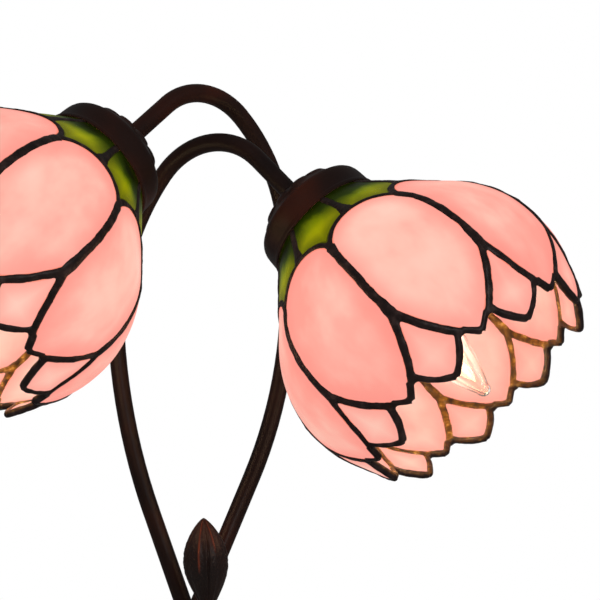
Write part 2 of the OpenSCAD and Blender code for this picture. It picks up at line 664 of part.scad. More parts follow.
// The leading is one net of solder with a window for each piece of glass. It is worked out for half a sector,
// from a large petal's middle to a small petal's middle, and every second half is that one mirrored.
// Its rows are [angle, w]: the windows' edges, the outer border and the ring at the neck.
ring_w = (glass_t / 2 + seam_h) * sin(neck_slope) + fit;
first_w = arch_steps + flank_steps;
corner_i = first_w + side_steps;
window = large_edge(seam);
small_window = [for (e = small_edge(seam)) [half_step - e[0], e[1]]];
sepal_window = [for (e = sepal_edge(seam)) [half_step - e[0], e[1]]];
neck_angle = flank(top_w, seam);
join_psi = psi_at(join, -border);
border_tip = acos(side_x / (side_r + border));
large_border = [for (i = [0:tip_steps]) side_point(along(join_psi, border_tip, i, tip_steps), -border)];
small_border = [for (i = [1:tip_steps])
    let (t = small_tip(-border), w = t - (t - join) * pow(1 - i / tip_steps, 1.6)) [half_step - small_angle(w, -border), w]];
neck_points = [[half_step - neck_angle / 3, top_w], [half_step - neck_angle, ring_w], [half_step - neck_angle / 3, ring_w]];
half_net = concat(window, small_window, sepal_window, large_border, small_border, neck_points);
halves = 2 * petals;
per_half = len(half_net);

// Numbers of the rows of a half.
function small_at(i) = len(window) + i;
function sepal_at(i) = small_at(len(small_window)) + i;
function border_at(i) = sepal_at(len(sepal_window)) + i;
function small_border_at(i) = i == 0 ? border_at(0) : border_at(len(large_border)) + i - 1;
neck_mid = border_at(len(large_border)) + tip_steps;
ring_side = neck_mid + 1;
ring_mid = neck_mid + 2;

function half_point(q, e, h) = on_glass(floor((q + 1) / 2) * step + (q % 2 == 0 ? e[0] : -e[0]), e[1], h);
// Number of a point: the rows in a middle line are shared by the halves on its two sides.
function net_id(q, i) = let (a = half_net[i][0], odd = (q + halves) % 2 == 1,
    home = a < 0.001 && odd ? q + 1 : a > half_step - 0.001 && odd ? q - 1 : q) (home + halves) % halves * per_half + i;

// Faces of one half, and those that join it to its neighbour across a middle line.
half_faces = concat(
    [for (i = [0:arch_steps - 1]) [sepal_at(i + 1), sepal_at(i + 2), i + 1, i]],
    [for (i = [0:side_steps - 1]) [first_w + i, small_at(i), small_at(i + 1), first_w + i + 1]],
    [[corner_i, small_at(side_steps), border_at(0)]],
    [for (i = [0:tip_steps - 1]) [corner_i + i, border_at(i), border_at(i + 1), corner_i + i + 1]],
    [for (i = [0:tip_steps - 1]) [small_border_at(i), small_at(side_steps + i), small_at(side_steps + i + 1),
        small_border_at(i + 1)]],
    [[ring_side, ring_mid, neck_mid, sepal_at(0)]]);
edge_runs = [[for (i = [len(window) - 1:-1:0]) i], [for (i = [0:len(small_window) - 1]) small_at(i)],
    concat([neck_mid], [for (i = [0:len(sepal_window) - 1]) sepal_at(i)]), [for (i = [0:tip_steps]) border_at(i)],
    [for (i = [tip_steps:-1:0]) small_border_at(i)], [ring_side, ring_mid]];
half_edges = [for (run = edge_runs, i = [0:len(run) - 2]) [run[i], run[i + 1]]];

function turned(f) = [for (i = [len(f) - 1:-1:0]) f[i]];
function in_half(q, f) = let (g = [for (i = f) net_id(q, i)]) q % 2 == 0 ? g : turned(g);
function across(q, f) = [for (p = f) net_id(q + p[0], p[1])];
net_faces = concat(
    [for (q = [0:halves - 1], f = half_faces) in_half(q, f)],
    [for (q = [0:2:halves - 2], i = [arch_steps:first_w - 1]) across(q, [[0, i], [1, i], [1, i + 1], [0, i + 1]])],
    [for (q = [0:2:halves - 2], f = [
        [[0, sepal_at(arch_steps + 1)], [1, arch_steps], [0, arch_steps]],
        [[0, first_w], [1, first_w], [0, small_at(0)]],
        [[0, ring_mid], [1, ring_mid], [1, neck_mid], [0, neck_mid]],
        [[-1, sepal_at(0)], [0, sepal_at(0)], [0, sepal_at(1)], [-1, sepal_at(1)]],
        [[-1, sepal_at(1)], [0, sepal_at(1)], [0, 0]],
        [[-1, ring_side], [0, ring_side], [0, sepal_at(0)], [-1, sepal_at(0)]]]) across(q, f)]);
net_edges = concat(
    [for (q = [0:halves - 1], e = half_edges) in_half(q, e)],
    [for (q = [0:2:halves - 2], e = [[[1, neck_mid], [0, neck_mid]], [[0, ring_mid], [1, ring_mid]],
        [[-1, ring_side], [0, ring_side]]]) across(q, e)]);
function triangles(f) = len(f) == 3 ? [f] : [[f[0], f[1], f[2]], [f[0], f[2], f[3]]];

module leading() {
    h = glass_t / 2 + seam_h;
    low = halves * per_half;
    points = [for (k = [h, -h], q = [0:halves - 1], e = half_net) half_point(q, e, k)];
    polyhedron(points, concat(
        [for (f = net_faces, t = triangles(f)) t],
        [for (f = net_faces, t = triangles(f)) [for (i = turned(t)) i + low]],
        [for (e = net_edges, t = triangles([e[1], e[0], e[0] + low, e[1] + low])) t]));
}

// ---- what each side is made of ----
right_phase = 2.1;
left_phase = 22.3;
sides = ["left", "right"];
petal_numbers = [1:petals];

color(metal) foot();
color(metal) hub();
color("dimgray") weight();
color("gray") bottom_cover();
color("darkgreen") felt();
color("silver") base_screws();
color("black") grommet();  // cord_grommet
color("orange") wire_connectors();
color(metal) bud();
color(metal) bud_stem();
for (s = sides) {
    right = s == "right";
    azimuth = right ? right_azimuth : left_azimuth;
    foot_at = right ? foot_y : -foot_y;
    table = right ? right_table : left_table;
    phase = right ? right_phase : left_phase;
    color(metal) arm(azimuth, foot_at, table);
    color("ivory") lead_wire(azimuth, foot_at, table);
    at_shade(azimuth, foot_at, table) {
        color(metal) cap();
        color(brass) nipple();
        color(brass) lock_nuts();
        color(brass) shade_ring();
        color("ivory") holder();
        color(brass) screw_shell();
        color(brass) centre_contact();
        color([1, 1, 0.9, 0.4]) bulb();
        color(brass) bulb_cap();
        color("silver") filament();
        rotate([0, 0, phase]) {
            color(green) sepals();
            color(pink) small_petals();
            color(solder) leading();
            for (i = petal_numbers)
                color(pink) large_petal(i - 1);
        }
    }
}
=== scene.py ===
"""Two-light table lamp: leaded tulip shades hang from bent tubes that cross above a leaf-covered foot."""
import json
import math

import bmesh
import bpy
import numpy as np
from mathutils import Matrix, Vector, noise


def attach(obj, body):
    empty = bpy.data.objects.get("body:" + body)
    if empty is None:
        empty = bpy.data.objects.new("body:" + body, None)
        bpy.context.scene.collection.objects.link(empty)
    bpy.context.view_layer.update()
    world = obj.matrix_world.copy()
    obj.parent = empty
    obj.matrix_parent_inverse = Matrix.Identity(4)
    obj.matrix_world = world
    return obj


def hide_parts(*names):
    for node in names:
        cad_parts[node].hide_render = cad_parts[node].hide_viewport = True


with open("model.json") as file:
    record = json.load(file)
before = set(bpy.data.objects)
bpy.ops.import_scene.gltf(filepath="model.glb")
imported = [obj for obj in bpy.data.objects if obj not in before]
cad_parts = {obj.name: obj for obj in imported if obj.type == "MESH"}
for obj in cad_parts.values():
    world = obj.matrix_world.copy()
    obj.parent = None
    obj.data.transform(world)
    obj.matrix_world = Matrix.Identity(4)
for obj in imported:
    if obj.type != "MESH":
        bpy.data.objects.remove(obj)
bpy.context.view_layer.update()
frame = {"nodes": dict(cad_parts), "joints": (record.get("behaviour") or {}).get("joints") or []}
rng = np.random.default_rng(7)
MM = 0.001
SIDES = ("left", "right")
PETALS = 9
STEP = 360 / PETALS
HALF = STEP / 2
JOINTS = {j["child"].split("_")[0]: j for j in frame["joints"]}
# Edges that turn by more than these angles stay crisp, on the pieces made here and on those built in CAD.
SHARP, CAD_SHARP = 38, 32

# ---- the shade's shape, in millimetres; w is the distance along its own axis from the cap's rim ----
NECK_R, NECK_SLOPE, NECK_LEN = 34.5, 38.5, 67.5
BELLY_R, MOUTH_SLOPE = 75.5, 24.0
GLASS = 3.0
# Where the lamp body's joint lies, and how far each shade is turned so that its petals face as photographed
JOINT_W = 42.0
PHASE = {"left": 22.3, "right": 2.1}
# The arch at a large petal's top: its middle and its radius
ARCH_W, ARCH_R = 60.5, 27.5
LARGE_TOP = ARCH_W - ARCH_R
# The arcs of a petal's two sides: where their middle lies, their radius and how far past the petal's middle it is
SIDE_W, SIDE_R, SIDE_X = 76.3, 90.7, 52.8
SMALL_W, SMALL_R, SMALL_X = 122.1, 40.0, 17.0
SIDE_END, SMALL_END = SIDE_W + SIDE_R, SMALL_W + SMALL_R


def sin(a):
    return math.sin(math.radians(a))


def cos(a):
    return math.cos(math.radians(a))


def tan(a):
    return math.tan(math.radians(a))


NECK_W = NECK_LEN * cos(NECK_SLOPE)
BELLY_W = NECK_W + BELLY_R * sin(NECK_SLOPE)
BELLY_MID = NECK_R + NECK_LEN * sin(NECK_SLOPE) - BELLY_R * cos(NECK_SLOPE)
MOUTH_W = BELLY_W + BELLY_R * sin(MOUTH_SLOPE)


def glass_r(w):
    """Radius of the glass's middle surface."""
    if w < NECK_W:
        return NECK_R + w * tan(NECK_SLOPE)
    if w < MOUTH_W:
        return BELLY_MID + math.sqrt(BELLY_R ** 2 - (w - BELLY_W) ** 2)
    return BELLY_MID + BELLY_R * cos(MOUTH_SLOPE) - (w - MOUTH_W) * tan(MOUTH_SLOPE)


def glass_slope(w):
    """Angle between the glass and the shade's axis."""
    if w < NECK_W:
        return NECK_SLOPE
    if w < MOUTH_W:
        return -math.degrees(math.asin((w - BELLY_W) / BELLY_R))
    return -MOUTH_SLOPE


def on_glass(angle, w, h=0.0):
    """Point on the glass, h off its middle surface."""
    slope = glass_slope(w)
    r = glass_r(w) + h * cos(slope)
    return np.array((r * cos(angle), r * sin(angle), w - h * sin(slope)))


def off_glass(angle, w):
    """Direction straight out of the glass."""
    slope = glass_slope(w)
    return np.array((cos(slope) * cos(angle), cos(slope) * sin(angle), -sin(slope)))


def angle_of(across, w):
    """Angle round the shade that a width across it takes at w."""
    return math.degrees(math.asin(max(-1, min(1, across / glass_r(w)))))


# The straight flank between two large petals touches the arch where it is LINE_GAP from the arch's middle.
LINE_M = tan(NECK_SLOPE) * sin(HALF)
LINE_GAP = (LINE_M * ARCH_W + NECK_R * sin(HALF)) / math.hypot(1, LINE_M)
ARCH_FULL = math.degrees(math.atan2(1, LINE_M))


# Half of the angle that a petal takes at w, by each of its lines, with its edge d inside the seam's middle.
def arch_half(w, d):
    if w > ARCH_W:
        return HALF
    return angle_of(math.sqrt(max(0, (ARCH_R - d) ** 2 - (ARCH_W - w) ** 2)), w)


def flank_half(w, d):
    return HALF - angle_of(d, w)


def side_half(w, d):
    if w < SIDE_W:
        return 2 * HALF
    return angle_of(max(0, math.sqrt(max(0, (SIDE_R - d) ** 2 - (w - SIDE_W) ** 2)) - SIDE_X), w)


def small_side(w, d):
    return angle_of(max(0, math.sqrt(max(0, (SMALL_R - d) ** 2 - (w - SMALL_W) ** 2)) - SMALL_X), w)


def large_half(w, d):
    return min(arch_half(w, d), flank_half(w, d), side_half(w, d))


def small_half(w, d):
    return min(HALF - side_half(w, -d), small_side(w, d))


def sepal_half(w, d):
    return min(flank_half(w, d), HALF - (arch_half(w, -d) if w > LARGE_TOP - d else 0))


def turning_place(test, low, high):
    """Place where test turns from true to false."""
    for _ in range(40):
        mid = (low + high) / 2
        if test(mid):
            low = mid
        else:
            high = mid
    return low


def large_tip(d, least):
    """Where a large petal, d inside its seams, narrows to least degrees."""
    return turning_place(lambda w: side_half(w, d) > least, SIDE_W, SIDE_END)


def small_tip(d, least):
    return turning_place(lambda w: small_side(w, d) > least, SMALL_W, SMALL_END)


# The top of the small petals, and the corner where they leave the large ones
VEE = turning_place(lambda w: side_half(w, 0) > HALF, SIDE_W, SIDE_W + 50)
JOIN = turning_place(lambda w: side_half(w, 0) + small_side(w, 0) > HALF, SMALL_W, SMALL_END)


# ---- meshes ----
def piece(name, points, faces, body, material):
    """A new mesh that moves with a body. Points are in millimetres."""
    mesh = bpy.data.meshes.new(name)
    mesh.from_pydata([tuple(p) for p in np.asarray(points) * MM], [], faces)
    return dress(mesh, body, material)


def dress(mesh, body, material):
    """Puts a mesh into the scene with its finish, smooth apart from its sharp edges."""
    mesh.materials.append(material)
    mesh.shade_smooth()
    mesh.set_sharp_from_angle(angle=math.radians(SHARP))
    obj = bpy.data.objects.new(mesh.name, mesh)
    bpy.context.scene.collection.objects.link(obj)
    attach(obj, body)
    return obj


def clean(obj):
    """Welds doubled points and turns every face outward."""
    bm = bmesh.new()
    bm.from_mesh(obj.data)
    bmesh.ops.remove_doubles(bm, verts=bm.verts, dist=1e-6)
    bmesh.ops.recalc_face_normals(bm, faces=bm.faces)
    bm.to_mesh(obj.data)
    bm.free()


def final_mesh(obj):
    """The mesh that an object's curve or modifiers give."""
    return bpy.data.meshes.new_from_object(obj.evaluated_get(bpy.context.evaluated_depsgraph_get()))


def paint(obj, name, values):
    """Gives each point a value that the finish reads by name."""
    values = np.asarray(values, np.float32)
    obj.data.attributes.new(name, "FLOAT", "POINT").data.foreach_set("value", values)


def lathe(profile, turns, relief=lambda a, j: (0, 0)):
    """A closed profile of (radius, height) turned about Z; relief moves a point, by its angle and its index."""
    points, faces, n = [], [], len(profile)
    for i in range(turns):
        a = 360 * i / turns
        for j, (r, z) in enumerate(profile):
            dr, dz = relief(a, j)
            points.append(((r + dr) * cos(a), (r + dr) * sin(a), z + dz))
        for j in range(n):
            k = (i + 1) % turns
            faces.append((i * n + j, k * n + j, k * n + (j + 1) % n, i * n + (j + 1) % n))
    return points, faces


def sleeve(rows, sides):
    """Faces of a closed tube of points: rows of rings, with a flat face at each end."""
    faces = [(i * sides + j, i * sides + (j + 1) % sides, (i + 1) * sides + (j + 1) % sides, (i + 1) * sides + j)
             for i in range(rows - 1) for j in range(sides)]
    return faces + [tuple(reversed(range(sides))), tuple(range((rows - 1) * sides, rows * sides))]


def shade_matrix(side):
    """From a shade's own axis, in millimetres, to the lamp."""
    axis = Vector(JOINTS[side]["axis"]).normalized()
    rim = Vector(JOINTS[side]["pos_m"]) / MM - axis * JOINT_W
    azimuth = math.atan2(axis.y, axis.x)
    tilt = math.acos(axis.z)
    return Matrix.Translation(rim) @ Matrix.Rotation(azimuth, 4, "Z") @ Matrix.Rotation(tilt, 4, "Y")


def turn(angle):
    return Matrix.Rotation(math.radians(angle), 4, "Z")


def moved(points, matrix):
    m = np.array(matrix)
    return np.asarray(points) @ m[:3, :3].T + m[:3, 3]


# ---- finishes ----
def rgb(code):
    """An sRGB hex colour as linear values."""
    srgb = [int(code[i:i + 2], 16) / 255 for i in (1, 3, 5)]
    return tuple(c / 12.92 if c <= 0.04045 else ((c + 0.055) / 1.055) ** 2.4 for c in srgb) + (1,)


def feed(tree, node, inputs):
    """Sets a node's inputs, each to a value or to another node's output."""
    for key, value in inputs.items():
        if isinstance(value, bpy.types.NodeSocket):
            tree.links.new(value, node.inputs[key])
        else:
            node.inputs[key].default_value = value


def add(tree, kind, inputs, stops=(), **settings):
    """Adds a node with its settings and links; stops are the places and hex colours of a ramp."""
    made = tree.nodes.new(kind)
    for key, value in settings.items():
        setattr(made, key, value)
    if stops:
        elements = made.color_ramp.elements
        while len(elements) < len(stops):
            elements.new(0.5)
        for element, (place, colour) in zip(elements, stops):
            element.position = place
            element.color = rgb(colour)
    feed(tree, made, inputs)
    return made.outputs


def new_material(name):
    """A material with one Principled shader: the material, its node tree and the shader."""
    material = bpy.data.materials.new(name)
    material.use_nodes = True
    return material, material.node_tree, material.node_tree.nodes["Principled BSDF"]


def grain(tree, size_mm, detail=3.0, stretch=(1, 1, 1), coordinate="Object"):
    """Noise whose lumps are about size_mm across, drawn out by stretch."""
    place = add(tree, "ShaderNodeTexCoord", {})[coordinate]
    place = add(tree, "ShaderNodeMapping", {"Vector": place, "Scale": stretch})["Vector"]
    return add(tree, "ShaderNodeTexNoise", {"Vector": place, "Scale": 1000 / size_mm, "Detail": detail})["Fac"]


def opal_glass(name, wispiness, body, rim, fringe, glow, soak):
    """Rolled opalescent art glass lit from behind: soft milky wisps along the sheet, a deeper colour towards its
    edge and a warm fringe beside the solder. It glows more than it mirrors; the glow is painted light that stands in
    for the bulb shining through. Each pane's own tone, which also carries painted shade, moves it along the sheet's
    colours."""
    material, tree, shader = new_material(name)
    # The sheet's clouds are about 60 mm across and its rolled streaks 17 mm, both drawn out along the petal.
    clouds = grain(tree, 60, 2.0, (1, 1, 0.45), "UV")
    streaks = grain(tree, 17, 2.0, (1.6, 1, 0.2), "UV")
    wisps = add(tree, "ShaderNodeMix", {"Factor": 0.25, 2: clouds, 3: streaks})[0]
    faint = add(tree, "ShaderNodeMapRange", {"Value": wisps, "To Min": 0.125, "To Max": 0.875})["Result"]
    # The pane's tone: its glass's own tone together with painted shade by how it faces and under the cap
    tone = add(tree, "ShaderNodeAttribute", {}, attribute_name="tone")["Fac"]
    place = add(tree, "ShaderNodeMath", {0: faint, 1: wispiness, 2: tone}, operation="MULTIPLY_ADD")[0]
    colour = add(tree, "ShaderNodeValToRGB", {"Fac": place}, stops=body)["Color"]
    # Millimetres from the edge over which the rim's and the fringe's colours fade, and how strong they are
    edge = add(tree, "ShaderNodeAttribute", {}, attribute_name="edge")["Fac"]
    for near, far, strength, other in ((0.8, 14.0, 0.65, rim), (0.9, 1.9, 0.6, fringe)):
        fade = add(tree, "ShaderNodeMapRange", {"Value": edge, "From Min": near, "From Max": far, "To Min": strength,
                                                "To Max": 0.0}, interpolation_type="SMOOTHSTEP")["Result"]
        colour = add(tree, "ShaderNodeMix", {"Factor": fade, 6: colour, 7: rgb(other)}, data_type="RGBA")[2]
    soaked = add(tree, "ShaderNodeMix", {"Factor": soak, 6: rgb("#000000"), 7: colour}, data_type="RGBA")[2]
    waves = add(tree, "ShaderNodeBump", {"Height": grain(tree, 14, 2.0), "Distance": 0.2 * MM, "Strength": 0.4})
    feed(tree, shader, {"Base Color": soaked, "Emission Color": colour, "Emission Strength": glow, "Roughness": 0.25,
                        "Specular IOR Level": 0.07, "Normal": waves["Normal"]})
    return material


def patinated_solder():
    """Lead-tin solder run over copper foil and blackened with copper patina, so it looks like black enamel with
    low lumps. The inner side facing the bulb is painted golden brown with painted glints, for the bulb's light on it."""
    material, tree, shader = new_material("patinated_solder")
    lumps = grain(tree, 5)
    outer = add(tree, "ShaderNodeValToRGB", {"Fac": lumps},
                stops=((0.3, "#120B0A"), (0.55, "#1E1312"), (0.75, "#302320")))["Color"]
    # Painted bulb light: the inner side's golden browns and the pale glints among them
    inner = add(tree, "ShaderNodeValToRGB", {"Fac": lumps},
                stops=((0.32, "#1C1104"), (0.48, "#4A2F0C"), (0.6, "#6E4C1A"), (0.74, "#B8944C")))["Color"]
    inside = add(tree, "ShaderNodeAttribute", {}, attribute_name="inside")["Fac"]
    colour = add(tree, "ShaderNodeMix", {"Factor": inside, 6: outer, 7: inner}, data_type="RGBA")[2]
    ripple = add(tree, "ShaderNodeBump", {"Height": grain(tree, 3), "Distance": 0.3 * MM, "Strength": 0.6})
    feed(tree, shader, {"Base Color": colour, "Roughness": 0.38, "Specular IOR Level": 0.25,
                        "Normal": ripple["Normal"]})
    return material


def bronze_lacquer(name, pit_mm, pit_depth, shine):
    """Cast zinc or steel tube sprayed with a satin lacquer, near-black with a brown cast; red-brown shows where it
    is rubbed. The pits are drawn a few times coarser than the real spray's, so that they show."""
    material, tree, shader = new_material(name)
    base = add(tree, "ShaderNodeValToRGB", {"Fac": grain(tree, 60, 2.0)},
               stops=((0.35, "#140C0B"), (0.52, "#1C0F0C"), (0.68, "#2D120A")))["Color"]
    worn = add(tree, "ShaderNodeAttribute", {}, attribute_name="rubbed")["Fac"]
    colour = add(tree, "ShaderNodeMix", {"Factor": worn, 6: base, 7: rgb("#6A280C")}, data_type="RGBA")[2]
    pits = add(tree, "ShaderNodeBump", {"Height": grain(tree, pit_mm, 2.0), "Distance": pit_depth * MM})
    feed(tree, shader, {"Base Color": colour, "Roughness": 0.36, "Specular IOR Level": shine,
                        "Normal": pits["Normal"]})
    return material


def clear_bulb_glass():
    """Thin blown soda-lime glass of a lit bulb: seen through, with cream glints where it mirrors its filament."""
    material, tree, shader = new_material("clear_bulb_glass")
    tint = add(tree, "ShaderNodeValToRGB", {"Fac": grain(tree, 30, 1.0)},
               stops=((0.3, "#F6ECE6"), (0.7, "#FFFDF8")))
    strength = add(tree, "ShaderNodeAttribute", {}, attribute_name="glint")["Fac"]
    feed(tree, shader, {"Base Color": tint["Color"], "Roughness": 0.02, "IOR": 1.45, "Transmission Weight": 1.0,
                        "Emission Color": rgb("#FFF1DC"), "Emission Strength": strength})
    return material


def hot_filament():
    """Tungsten at working heat: one even yellow-white glow."""
    material, tree, shader = new_material("hot_filament")
    feed(tree, shader, {"Base Color": rgb("#FFE9C4"), "Roughness": 0.5, "Emission Color": rgb("#FFE2B0"),
                        "Emission Strength": 14.0})
    return material


def plain_finish(name, low, high, grain_mm, roughness, metallic=0.0, pit=0.0, glow=0.0):
    """A finish of one colour that varies a little from low to high over grain_mm, with pits of a depth in mm."""
    material, tree, shader = new_material(name)
    mottle = grain(tree, grain_mm)
    colour = add(tree, "ShaderNodeValToRGB", {"Fac": mottle}, stops=((0.3, low), (0.7, high)))["Color"]
    feed(tree, shader, {"Base Color": colour, "Roughness": roughness, "Metallic": metallic})
    if pit:
        pits = add(tree, "ShaderNodeBump", {"Height": mottle, "Distance": pit * MM})
        feed(tree, shader, {"Normal": pits["Normal"]})
    if glow:
        feed(tree, shader, {"Emission Color": colour, "Emission Strength": glow})
    return material


PINK = opal_glass("pink_opal_glass", wispiness=1.0, rim="#FF968A", fringe="#FF7A55", glow=0.9, soak=0.1,
                  body=((0.36, "#FFA395"), (0.46, "#FFB2A3"), (0.54, "#FFC2B1"), (0.66, "#FFCFBE")))
# The green's dark edge colour is partly the glass's deeper edge and partly painted shade under the cap's rim; the
# dark low end of its colours is the painted shadow that the cap casts
GREEN = opal_glass("green_opal_glass", wispiness=1.1, rim="#1A2600", fringe="#141C00", glow=0.7, soak=0.3,
                   body=((0.12, "#060900"), (0.24, "#2A3A00"), (0.37, "#6E7A00"), (0.56, "#A2A400")))
SOLDER = patinated_solder()
BRONZE = bronze_lacquer("oiled_bronze", pit_mm=0.9, pit_depth=0.06, shine=0.16)
# The cast pieces keep the mould's coarser skin, which catches a little more light.
CAST = bronze_lacquer("cast_bronze", pit_mm=1.4, pit_depth=0.4, shine=0.3)
# Plain yellow brass, stamped and turned: warm, bright and a little tarnished
BRASS = plain_finish("turned_brass", "#8E6A2C", "#C79F54", 12, roughness=0.32, metallic=1.0)
# Nickel-plated brass of a screw cap: pale and fairly sharp in what it mirrors
NICKEL = plain_finish("nickel_plate", "#A9A296", "#CFC9BE", 8, roughness=0.24, metallic=1.0)
# White glazed steatite of a lamp holder: glossy, with a cream cast
PORCELAIN = plain_finish("glazed_porcelain", "#DDD6C8", "#EFEAE0", 15, roughness=0.2)
BULB = clear_bulb_glass()
FILAMENT = hot_filament()
# Pressed lead glass round nickel wires: smooth and cream, lit by the filament
STEM = plain_finish("lead_glass_stem", "#E8D9C4", "#FFF4E2", 6, roughness=0.1, glow=0.5)
# Sand-cast grey iron: dark, dull and gritty, its grit drawn a little coarse
IRON = plain_finish("grey_cast_iron", "#2B2B2C", "#3C3B3A", 2.0, roughness=0.8, pit=0.3)
# Zinc-plated sheet steel: even grey with a soft sheen
STEEL = plain_finish("zinc_plated_steel", "#8C8F92", "#A7AAAD", 10.0, roughness=0.35, metallic=1.0, pit=0.05)
# Pressed wool felt: matt dark green; its fibres are drawn as lumps coarse enough to show
FELT = plain_finish("wool_felt", "#16281C", "#22392A", 0.8, roughness=0.95, pit=0.4)
# Moulded black rubber: dull, nearly even
RUBBER = plain_finish("moulded_rubber", "#101010", "#191919", 3.0, roughness=0.7, pit=0.05)
# Moulded orange nylon: satin and strong in colour
NYLON = plain_finish("orange_nylon", "#B8541A", "#D06A28", 6.0, roughness=0.45, pit=0.05)
# Extruded PVC sheath in old gold: smooth, with a soft sheen
CABLE = plain_finish("pvc_sheath", "#8F7F58", "#B3A277", 9.0, roughness=0.35, pit=0.05)


# ---- glass ----
# How far a pane's edge lies inside the seams' middles, a small petal's top below its corner and a sepal's below the
# cap's rim
PANE_IN, SMALL_IN, SEPAL_IN = 1.2, 1.8, 2.6
# Height and length of the waves of hand-rolled glass
WAVE, WAVE_LEN = 0.22, 21
# How much paler each large petal is than the sheet's mean; below zero is deeper. Partly the sheets' own differences
# and partly painted light and shade by how each petal faces.
PETAL_TONE_AND_SHADE = {"left": (-0.12, -0.02, -0.03, -0.05, -0.07, -0.05, 0.0, 0.04, 0.06),
              "right": (0.06, 0.05, 0.07, -0.08, -0.1, -0.05, 0.055, -0.125, -0.07)}


def row_places(low, high, count, corners):
    """Rows from low to high, closer at the ends, with one at each corner."""
    eased = [low + (high - low) * (1 - cos(180 * i / count)) / 2 for i in range(count + 1)]
    return sorted(set(round(w, 3) for w in eased + [c for c in corners if low < c < high]))


def pane(half_at, low, high, corners, rows, cols):
    """A closed sheet of glass: its points, its faces, each point's place on the flat sheet and its distance from
    the edge."""
    places = row_places(low, high, rows, corners)
    points, flat, faces = [], [], []
    for h in (GLASS / 2, -GLASS / 2):
        for w in places:
            half = max(half_at(w, PANE_IN), 0.01)
            for j in range(cols + 1):
                a = -half * cos(180 * j / cols)
                points.append(on_glass(a, w, h))
                flat.append((glass_r(w) * math.radians(a), w))
    flat = np.array(flat)
    last = len(places) - 1

    def at(i, j, inner=0):
        return (inner * len(places) + i) * (cols + 1) + j
    rim = [at(i, j) for i in range(last + 1) for j in (0, cols)]
    rim += [at(i, j) for i in (0, last) for j in range(cols + 1)]
    edge = np.min(np.linalg.norm(flat[:, None, :] - flat[rim][None, :, :], axis=2), axis=1)
    for i in range(last):
        for j in range(cols):
            faces.append((at(i, j), at(i, j + 1), at(i + 1, j + 1), at(i + 1, j)))
            faces.append((at(i, j, 1), at(i + 1, j, 1), at(i + 1, j + 1, 1), at(i, j + 1, 1)))
        faces.append((at(i, 0), at(i + 1, 0), at(i + 1, 0, 1), at(i, 0, 1)))
        faces.append((at(i + 1, cols), at(i, cols), at(i, cols, 1), at(i + 1, cols, 1)))
    for j in range(cols):
        faces.append((at(0, j + 1), at(0, j), at(0, j, 1), at(0, j + 1, 1)))
        faces.append((at(last, j), at(last, j + 1), at(last, j + 1, 1), at(last, j, 1)))
    return np.array(points), faces, flat, edge


def rolled(points, seed):
    """Points moved by the slow waviness of hand-rolled glass."""
    shift = Vector((seed * 7.3, seed * 3.1, 0))
    out = points.copy()
    for i, p in enumerate(points):
        radial = np.array((p[0], p[1], 0)) / max(1e-6, math.hypot(p[0], p[1]))
        out[i] += radial * WAVE * noise.noise(Vector(p) / WAVE_LEN + shift)
    return out


# How pale a pane is at w, by its side, its number and how far it faces up; besides the glass's own tone this carries
# painted shade
def large_tone_and_shade(side, k, up, w):
    return PETAL_TONE_AND_SHADE[side][k]


def small_tone_and_shade(side, k, up, w):
    # Panes that face up are painted deeper: painted shade by how the pane faces.
    return 0.05 - 0.09 * up


def sepal_cap_shade(side, k, up, w):
    """Painted shadow under the cap: dark at the cap's rim, turning yellow-green towards the petals."""
    return 0.6 * w / LARGE_TOP - 0.55


def glass_piece(name, cut, side, turns, tone_at, material, replaces):
    """One object of panes cut alike, one at each of the given turns."""
    points, faces, flat, edge = cut
    all_points, all_faces, sheet, tones = [], [], [], []
    for k in turns:
        first = len(all_points)
        place = shade_matrix(side) @ turn(PHASE[side] + k * STEP)
        all_points.extend(moved(rolled(points, k + (3 if side == "left" else 0)), place))
        all_faces.extend([tuple(i + first for i in f) for f in faces])
        sheet.extend(flat + rng.uniform(0, 900, 2))
        tones.extend(np.broadcast_to(tone_at(side, k, place.col[0].z, flat[:, 1]), len(flat)))
    obj = piece(name, all_points, all_faces, "root", material)
    index = np.zeros(len(obj.data.loops), int)
    obj.data.loops.foreach_get("vertex_index", index)
    obj.data.uv_layers.new(name="grain").data.foreach_set("uv", (np.array(sheet)[index] * MM).ravel())
    paint(obj, "edge", np.tile(edge, len(turns)))
    paint(obj, "tone", tones)
    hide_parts(replaces)


def make_glass():
    large = pane(large_half, LARGE_TOP + PANE_IN, large_tip(PANE_IN, 0.01), (JOIN, VEE), rows=46, cols=30)
    small = pane(small_half, VEE + SMALL_IN, small_tip(PANE_IN, 0.01), (JOIN,), rows=26, cols=18)
    sepal_end = turning_place(lambda w: sepal_half(w, PANE_IN) > 0.3, 20, 60)
    sepal = pane(sepal_half, SEPAL_IN, sepal_end, (LARGE_TOP,), rows=24, cols=16)
    between = [k + 0.5 for k in range(PETALS)]
    for side in SIDES:
        for k in range(PETALS):
            glass_piece(f"{side}_large_petal_glass_{k + 1}", large, side, [k], large_tone_and_shade, PINK,
                        f"{side}_large_petal_{k + 1}")
        glass_piece(f"{side}_small_petal_glass", small, side, between, small_tone_and_shade, PINK,
                    f"{side}_small_petals")
        glass_piece(f"{side}_sepal_glass", sepal, side, between, sepal_cap_shade, GREEN, f"{side}_sepals")


# ---- solder ----
# Half widths of the beads: the arch, the flank and its two ends, the axial seam at the neck and at the arch's foot,
# a small petal's side, the free border, the ring at the neck, and half the height of all of them
ARCH_BEAD, FLANK_BEAD, FLANK_ENDS = 2.75, 3.5, (4.3, 4.5)
AXIAL_BEADS = [3.1] * 8 + [3.2, 3.4, 3.9, 4.6, 5.5, 6.4]
SIDE_BEAD, BORDER_BEAD, RING_BEAD, BEAD_H = 3.1, 2.35, 1.3, 2.45
# The web of solder in the corner where a small petal leaves a large one: places past JOIN and half widths
WEB = ((-1, 2.6), (1, 3.5), (2.8, 2.8))
